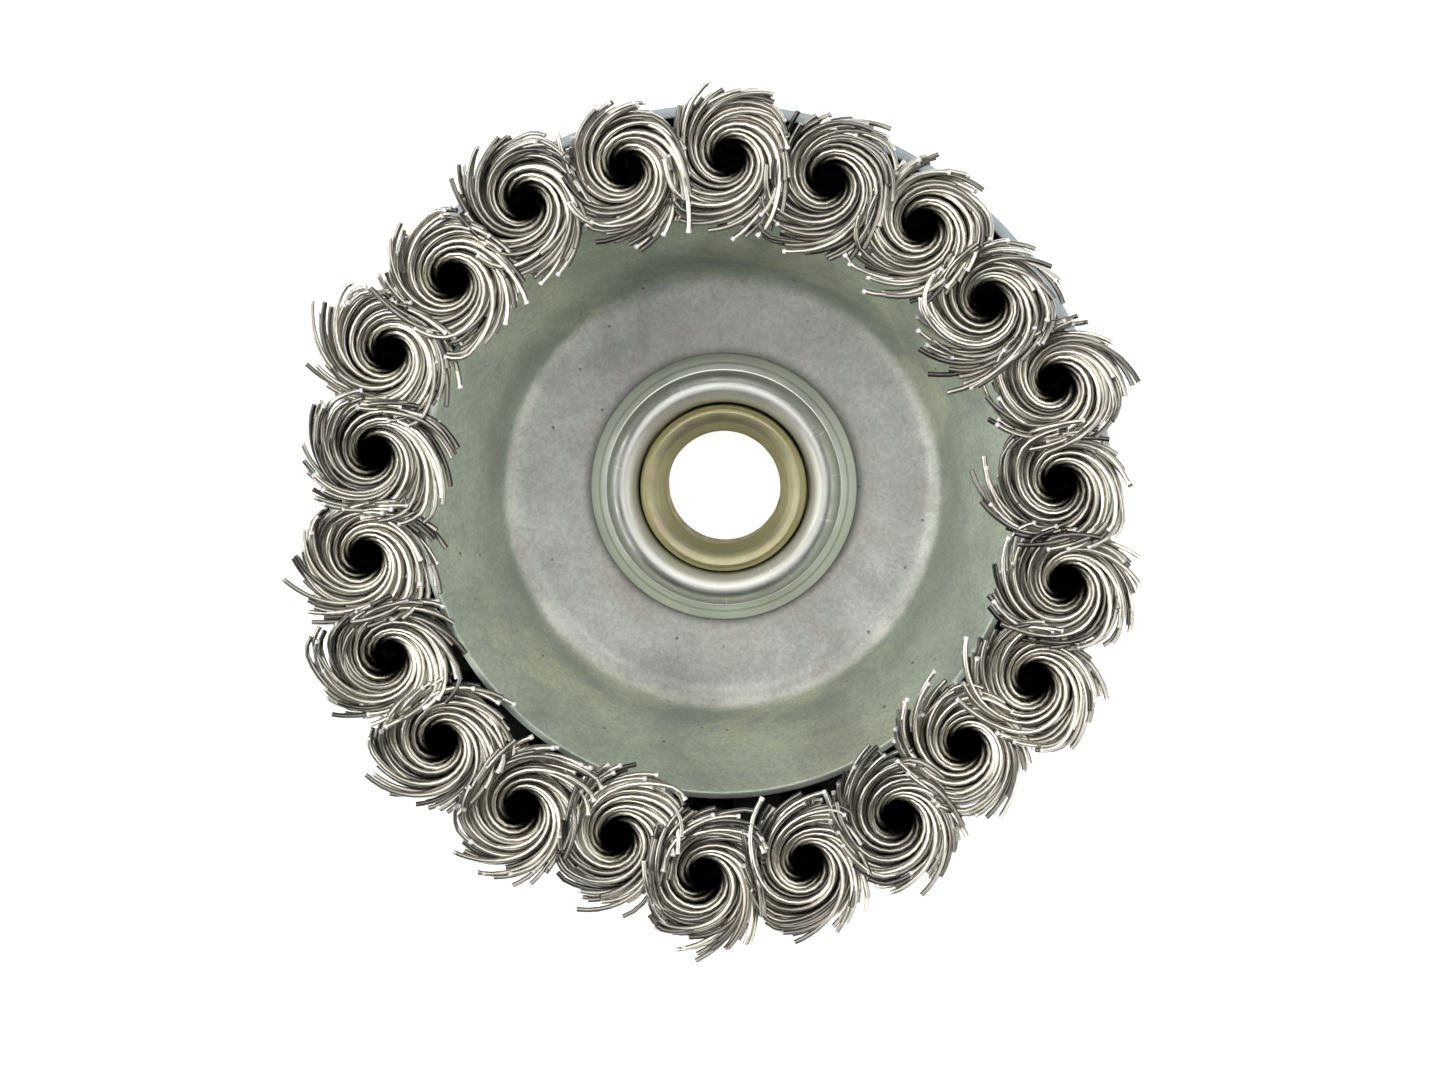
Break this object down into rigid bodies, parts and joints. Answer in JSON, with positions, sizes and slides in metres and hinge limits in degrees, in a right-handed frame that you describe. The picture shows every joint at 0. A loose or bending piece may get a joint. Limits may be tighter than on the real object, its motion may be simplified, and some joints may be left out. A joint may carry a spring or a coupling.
{
  "type": "wire cup brush",
  "caption": "Wire cup brush with a single row of twisted wire knots held between two pressed steel cups on a threaded hexagon nut.",
  "frame": {"origin": "centre of the nut's end face, on the spindle axis", "axes": "+Z from the nut to the bristle tips along the spindle axis; +Y is up and +X is right in the picture"},
  "size_m": [0.0977, 0.1004, 0.066],
  "materials": {
    "yellow_zinc": "yellow chromated zinc, satin",
    "blue_zinc": "pale blue zinc plate, satin",
    "plate_steel": "plain pressed steel",
    "dull_zinc": "dull zinc plate, lightly stained",
    "bright_zinc": "bright turned steel",
    "wire_steel": "drawn steel wire, twisted"
  },
  "bodies": {
    "root": {"nut": "yellow_zinc", "outer_shell": "blue_zinc", "knot_plate": "plate_steel", "inner_dish": "dull_zinc", "clamp_ring": "bright_zinc", "knot_01": "wire_steel", "knot_02": "wire_steel", "knot_03": "wire_steel", "knot_04": "wire_steel", "knot_05": "wire_steel", "knot_06": "wire_steel", "knot_07": "wire_steel", "knot_08": "wire_steel", "knot_09": "wire_steel", "knot_10": "wire_steel", "knot_11": "wire_steel", "knot_12": "wire_steel", "knot_13": "wire_steel", "knot_14": "wire_steel", "knot_15": "wire_steel", "knot_16": "wire_steel", "knot_17": "wire_steel", "knot_18": "wire_steel", "knot_19": "wire_steel", "knot_20": "wire_steel", "knot_21": "wire_steel", "knot_22": "wire_steel"}
  },
  "joints": []
}
